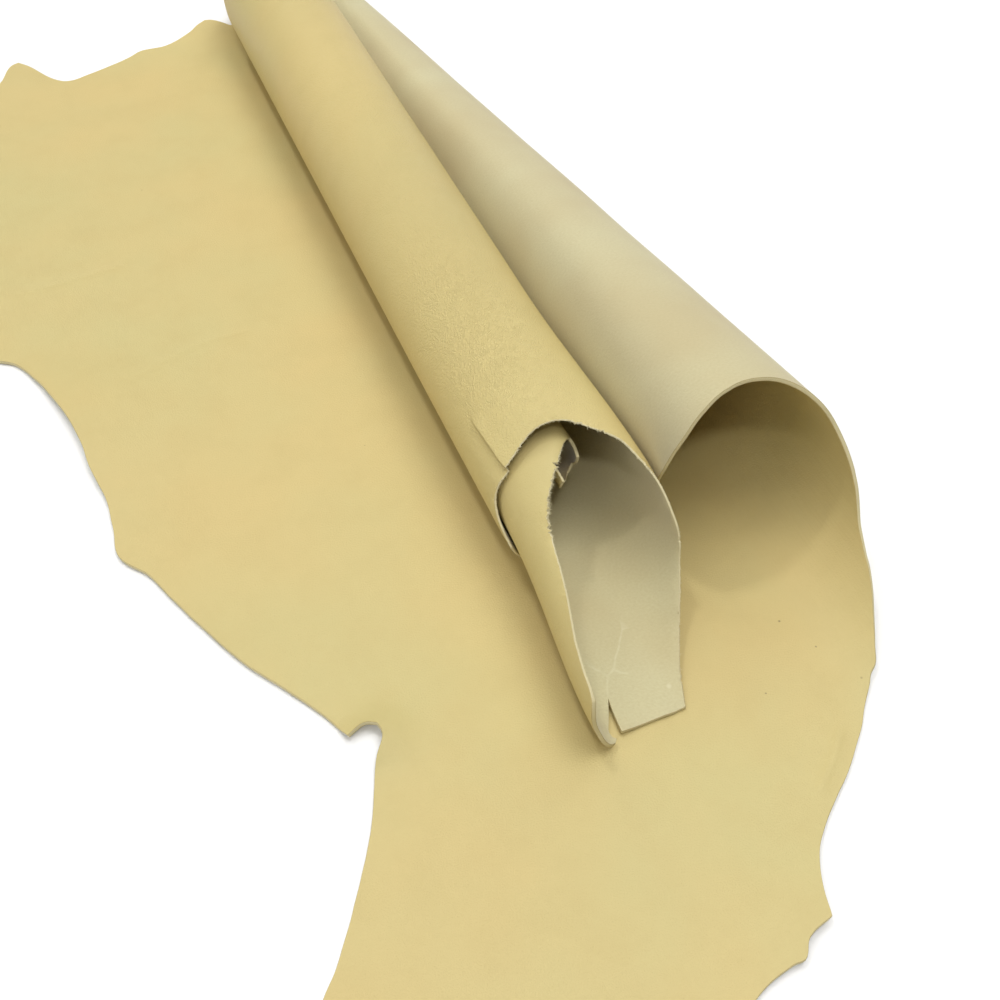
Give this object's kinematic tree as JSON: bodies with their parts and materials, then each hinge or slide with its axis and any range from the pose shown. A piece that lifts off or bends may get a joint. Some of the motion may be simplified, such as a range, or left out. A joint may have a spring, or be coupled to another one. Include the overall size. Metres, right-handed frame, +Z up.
{
  "type": "leather hide",
  "caption": "Natural tanned leather hide, lying grain side up, folded over in an open loop and rolled up, with an uneven cut outline",
  "frame": {"origin": "middle of the bounding box, on the surface that the hide lies on", "axes": "+Y runs along the roll, away from the end of its tongue; +X runs across the roll towards the loop; +Z is up"},
  "size_m": [0.6068, 1.2852, 0.1502],
  "materials": {
    "leather": "undyed vegetable-tanned grain, matte, with a paler suede flesh side"
  },
  "bodies": {
    "root": {"hide": "leather"}
  },
  "joints": []
}
